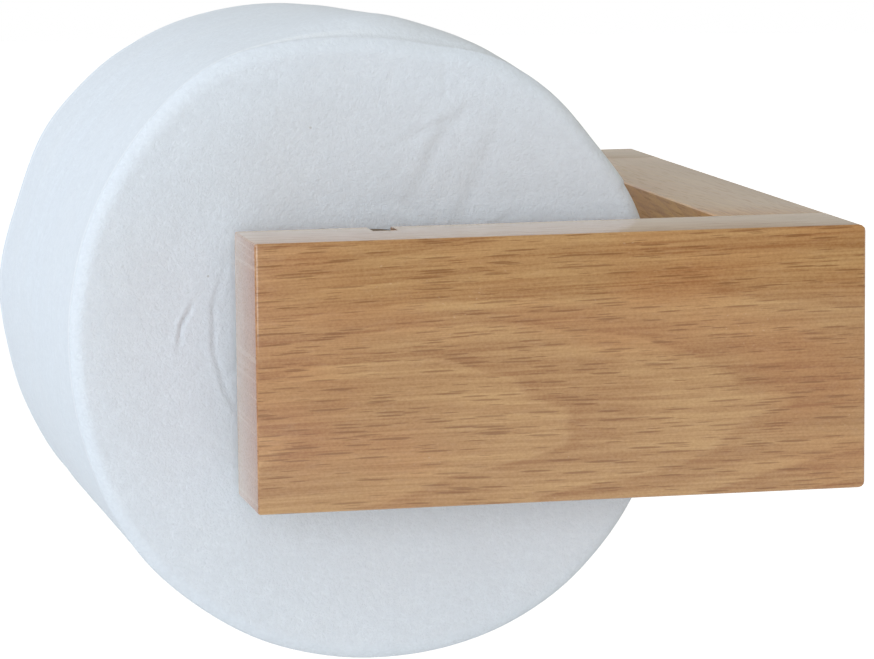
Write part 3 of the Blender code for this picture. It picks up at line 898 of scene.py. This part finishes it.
# %% Floor
FLOOR_DEPTH = 0.32
FLOOR_GLOW = 0.62
FLOOR_GLOW_IN_GLOSS = 0.45
floor_shape = bmesh.new()
bmesh.ops.create_circle(floor_shape, cap_ends=True, segments=96, radius=6.0)
bmesh.ops.translate(floor_shape, vec=(0, 0, -FLOOR_DEPTH), verts=floor_shape.verts)
floor = place("floor", floor_shape)

pale = Finish("pale_floor", Base_Color=(0.84, 0.84, 0.84, 1.0), Emission_Color=(1, 1, 1, 1), Roughness=0.9)
floor_path = pale.add("ShaderNodeLightPath").outputs
straight = pale.math("MAXIMUM", floor_path["Is Camera Ray"], floor_path["Is Transmission Ray"])
straight = pale.math("MULTIPLY", straight, FLOOR_GLOW)
mirrored = pale.math("MULTIPLY", floor_path["Is Glossy Ray"], FLOOR_GLOW_IN_GLOSS)
pale.join("Emission Strength", pale.math("MAXIMUM", straight, mirrored))
paint(floor, pale)
print("floor", FLOOR_DEPTH, "m below the middle of the boards")

# %% Surroundings
WINDOW_TINT = (0.86, 0.94, 1.04, 1.0)
WALL_TINT = (1.0, 0.92, 0.74, 1.0)
PLAIN_WHITE = (1.0, 1.0, 1.0, 1.0)


def surroundings(name, dim, bright, dim_gloss):
    world = bpy.data.worlds.new(name)
    world.use_nodes = True
    tree = world.node_tree
    sky = tree.nodes["Background"]

    def add(kind, inputs, **settings):
        return add_node(tree, kind, inputs, **settings).outputs

    def fade(value, **ends):
        inputs = {key.replace("_", " ").title(): end for key, end in ends.items()}
        return add("ShaderNodeMapRange", {"Value": value, **inputs})["Result"]

    towards = add("ShaderNodeSeparateXYZ", {0: add("ShaderNodeTexCoord", {})["Generated"]})["Y"]
    window_side = fade(towards, from_min=1.0, from_max=-1.0)
    plain = fade(window_side, to_min=dim, to_max=bright)
    glossy = fade(fade(towards, from_min=0.35, from_max=-0.5), to_min=dim_gloss, to_max=1.0)
    path = add("ShaderNodeLightPath", {})
    lit = add("ShaderNodeMix", {0: path["Is Glossy Ray"], 2: plain, 3: glossy}, data_type="FLOAT")["Result"]
    rays = {0: path["Is Camera Ray"], 1: path["Is Transmission Ray"]}
    straight = add("ShaderNodeMath", rays, operation="MAXIMUM")[0]
    strength = add("ShaderNodeMix", {0: straight, 2: lit, 3: 1.0}, data_type="FLOAT")["Result"]
    tint = add("ShaderNodeMix", {0: window_side, 6: WALL_TINT, 7: WINDOW_TINT}, data_type="RGBA")[2]
    seen = add("ShaderNodeMix", {0: straight, 6: tint, 7: PLAIN_WHITE}, data_type="RGBA")[2]
    tree.links.new(strength, sky.inputs["Strength"])
    tree.links.new(seen, sky.inputs["Color"])
    return world


bpy.context.scene.world = surroundings("white_room", dim=0.34, bright=0.94, dim_gloss=0.31)
print("surroundings:", bpy.context.scene.world.name)

# %% [markdown]
# ## Lamps
#
# Daylight comes from the left and from above, which makes the roll's side brighter than its end. A
# smaller lamp on the camera's side keeps the arm's face even. Both are large for so small an object,
# because large lamps give soft shadows. Their power is low: a surface should come out about as bright
# as its own colour says.

# %% Lamps
def soft_lamp(name, at, aim, size, watts, tint):
    lamp = bpy.data.lights.new(name, "AREA")
    lamp.shape = "SQUARE"
    lamp.size = size
    lamp.energy = watts
    lamp.color = tint
    holder = bpy.data.objects.new(name, lamp)
    holder.location = at
    holder.rotation_euler = (Vector(aim) - Vector(at)).to_track_quat("-Z", "Y").to_euler()
    bpy.context.scene.collection.objects.link(holder)
    return holder


MIDDLE = (0, -0.06, 0)
soft_lamp("window", (0.25, -1.55, 1.05), aim=MIDDLE, size=1.3, watts=7.0, tint=(0.92, 0.97, 1.0))
soft_lamp("front_fill", (1.65, -0.5, 0.25), aim=MIDDLE, size=0.8, watts=8.1, tint=(0.88, 0.94, 1.0))

# %% [markdown]
# ## The camera
#
# The camera stands where the photographer stood. Its place and direction were worked out from the
# corners of the boards and the rims of the roll: it looks mostly along the rod from the right, a
# little from the front and a little from above, with a long lens. A camera looks along its own -Z
# axis with +Y up, so the three directions below make the columns of its turn.

# %% Camera
CAMERA_PLACE = (0.76405, -0.22351, 0.10104)
CAMERA_LOOK = (-0.96927, 0.20755, -0.13206)
CAMERA_UP = (-0.12721, 0.03658, 0.99120)
LENS, SENSOR_WIDTH = 170.7, 36.0
look = Vector(CAMERA_LOOK).normalized()
right = look.cross(Vector(CAMERA_UP)).normalized()
up = right.cross(look).normalized()
eye = bpy.data.cameras.new("photographer")
eye.sensor_width = SENSOR_WIDTH
eye.lens = LENS
eye.clip_start = 0.05
camera = bpy.data.objects.new("photographer", eye)
facing = Matrix((right, up, -look)).transposed().to_4x4()
camera.matrix_world = Matrix.Translation(CAMERA_PLACE) @ facing
bpy.context.scene.collection.objects.link(camera)
bpy.context.scene.camera = camera
bpy.context.scene.view_settings.view_transform = "Standard"
print("camera at", [round(v, 3) for v in camera.location], "lens", eye.lens)
